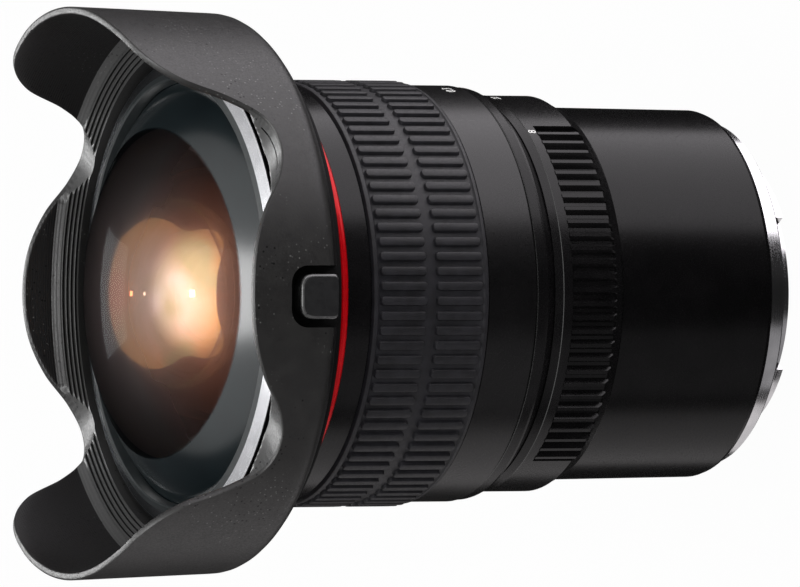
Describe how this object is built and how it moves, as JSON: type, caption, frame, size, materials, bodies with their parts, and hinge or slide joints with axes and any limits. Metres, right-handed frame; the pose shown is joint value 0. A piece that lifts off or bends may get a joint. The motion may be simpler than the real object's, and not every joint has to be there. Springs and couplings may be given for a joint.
{
  "type": "fisheye lens",
  "caption": "Manual fisheye camera lens with a domed front glass, petal hood, ribbed focus and aperture rings, leaf iris and a bayonet mount.",
  "frame": {"origin": "centre of the mount's flange face", "axes": "+Z along the optical axis towards the front glass, -Y towards the hood's release button, +X towards the scales' index"},
  "size_m": [0.0996, 0.0988, 0.1293],
  "materials": {
    "chrome_mount": "bright turned and plated",
    "steel_screw": "bright",
    "spring_steel": "blued spring temper",
    "satin_barrel": "satin black anodised",
    "matte_baffle": "matt black anodised",
    "inner_aluminium": "black anodised",
    "brass_cam": "machined",
    "satin_aperture_ring": "satin black anodised",
    "satin_focus_ring": "satin black anodised",
    "rubber_grip": "matt moulded rubber",
    "red_anodised": "bright red anodised",
    "hood_plastic": "finely textured satin black",
    "button_plastic": "satin black",
    "bright_retainer": "turned, black anodised, reflects bright",
    "blade_steel": "blackened steel leaf",
    "front_glass": "polished and coated",
    "inner_glass": "polished and coated"
  },
  "bodies": {
    "root": {"mount_ring": "chrome_mount", "mount_screws": "steel_screw", "rear_barrel": "satin_barrel", "rear_baffle": "matte_baffle", "baffle_screws": "steel_screw", "click_spring": "spring_steel", "guide_tube": "inner_aluminium", "index_ring": "satin_barrel", "neck_screws": "steel_screw", "focus_stop_pin": "steel_screw", "front_barrel": "satin_barrel", "barrel_screws": "steel_screw", "red_ring": "red_anodised", "front_cell": "matte_baffle", "front_element": "front_glass", "second_element": "inner_glass", "front_retainer": "bright_retainer"},
    "aperture_ring": {"aperture_ring": "satin_aperture_ring", "aperture_fork": "brass_cam"},
    "focus_ring": {"focus_ring": "satin_focus_ring", "focus_grip": "rubber_grip", "cam_sleeve": "brass_cam", "cam_screws": "steel_screw"},
    "optics": {"optics_carrier": "inner_aluminium", "cam_rollers": "brass_cam", "middle_cell": "matte_baffle", "third_element": "inner_glass", "third_retainer": "matte_baffle", "fourth_element": "inner_glass", "fourth_retainer": "matte_baffle", "fifth_element": "inner_glass", "middle_spacer": "matte_baffle", "iris_housing": "matte_baffle", "iris_cover": "matte_baffle", "rear_cell": "matte_baffle", "sixth_element": "inner_glass", "seventh_element": "inner_glass", "doublet_retainer": "matte_baffle", "eighth_element": "inner_glass", "rear_retainer": "matte_baffle"},
    "iris_actuator": {"iris_actuator": "blade_steel"},
    "hood": {"hood": "hood_plastic", "hood_latch": "spring_steel"},
    "hood_button": {"hood_button": "button_plastic"},
    "iris_blade_1": {"iris_blade_1": "blade_steel"},
    "iris_blade_2": {"iris_blade_2": "blade_steel"},
    "iris_blade_3": {"iris_blade_3": "blade_steel"},
    "iris_blade_4": {"iris_blade_4": "blade_steel"},
    "iris_blade_5": {"iris_blade_5": "blade_steel"},
    "iris_blade_6": {"iris_blade_6": "blade_steel"}
  },
  "joints": [
    {"name": "hood_twist", "type": "hinge", "parent": "root", "child": "hood", "pos_m": [0, 0, 0.0965], "axis": [0, 0, 1], "range_deg": [0, 40], "deforming": ["hood_latch"]},
    {"name": "button_press", "type": "slide", "parent": "hood", "child": "hood_button", "axis": [0, 1, 0], "range_m": [0, 0.0009], "stiffness_N_per_m": 900, "springref_m": -0.0015, "deforming": ["hood_latch"]},
    {"name": "focus_turn", "type": "hinge", "parent": "root", "child": "focus_ring", "pos_m": [0, 0, 0.0672], "axis": [0, 0, 1], "range_deg": [0, 96]},
    {"name": "optics_slide", "type": "slide", "parent": "root", "child": "optics", "axis": [0, 0, 1], "range_m": [0, 0.0015]},
    {"name": "aperture_turn", "type": "hinge", "parent": "root", "child": "aperture_ring", "pos_m": [0, 0, 0.04], "axis": [0, 0, 1], "range_deg": [0, 50], "deforming": ["click_spring"]},
    {"name": "actuator_turn", "type": "hinge", "parent": "optics", "child": "iris_actuator", "pos_m": [0, 0, 0.0403], "axis": [0, 0, 1], "range_deg": [0, 50]},
    {"name": "blade_1_turn", "type": "hinge", "parent": "optics", "child": "iris_blade_1", "pos_m": [0.0132, 0, 0.0422], "axis": [0, 0, 1], "range_deg": [0, 22.5]},
    {"name": "blade_2_turn", "type": "hinge", "parent": "optics", "child": "iris_blade_2", "pos_m": [0.0066, 0.01143, 0.0422], "axis": [0, 0, 1], "range_deg": [0, 22.5]},
    {"name": "blade_3_turn", "type": "hinge", "parent": "optics", "child": "iris_blade_3", "pos_m": [-0.0066, 0.01143, 0.0422], "axis": [0, 0, 1], "range_deg": [0, 22.5]},
    {"name": "blade_4_turn", "type": "hinge", "parent": "optics", "child": "iris_blade_4", "pos_m": [-0.0132, 0, 0.0422], "axis": [0, 0, 1], "range_deg": [0, 22.5]},
    {"name": "blade_5_turn", "type": "hinge", "parent": "optics", "child": "iris_blade_5", "pos_m": [-0.0066, -0.01143, 0.0422], "axis": [0, 0, 1], "range_deg": [0, 22.5]},
    {"name": "blade_6_turn", "type": "hinge", "parent": "optics", "child": "iris_blade_6", "pos_m": [0.0066, -0.01143, 0.0422], "axis": [0, 0, 1], "range_deg": [0, 22.5]}
  ],
  "couplings": [
    {"joint": "optics_slide", "follows": "focus_turn", "m_per_rad": 0.00089525},
    {"joint": "actuator_turn", "follows": "aperture_turn", "ratio": 1},
    {"joint": "blade_1_turn", "follows": "aperture_turn", "ratio": 0.45},
    {"joint": "blade_2_turn", "follows": "aperture_turn", "ratio": 0.45},
    {"joint": "blade_3_turn", "follows": "aperture_turn", "ratio": 0.45},
    {"joint": "blade_4_turn", "follows": "aperture_turn", "ratio": 0.45},
    {"joint": "blade_5_turn", "follows": "aperture_turn", "ratio": 0.45},
    {"joint": "blade_6_turn", "follows": "aperture_turn", "ratio": 0.45}
  ]
}
